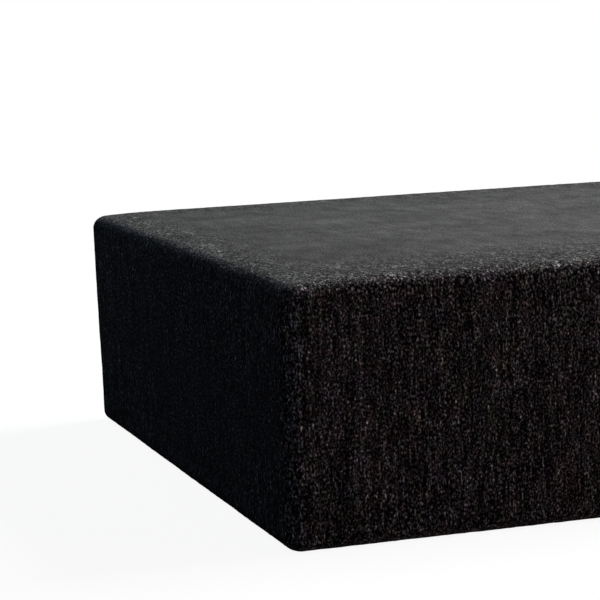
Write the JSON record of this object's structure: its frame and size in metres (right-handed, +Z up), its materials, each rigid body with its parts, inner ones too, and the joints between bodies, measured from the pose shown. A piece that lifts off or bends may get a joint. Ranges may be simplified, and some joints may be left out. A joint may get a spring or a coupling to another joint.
{
  "type": "foam block",
  "caption": "Rectangular block of dense black foam with soft rounded edges and sawn sides, for padding, packing or pinning work on a bench.",
  "frame": {"origin": "centre of the flat underside", "axes": "+X along the length, +Y from the long front side to the long back side, +Z up"},
  "size_m": [0.2, 0.15, 0.05],
  "materials": {
    "foam": "matt black closed-cell foam, fine grain on the flat faces and fine upright saw marks on the sides"
  },
  "bodies": {
    "root": {"foam_block": "foam"}
  },
  "joints": []
}
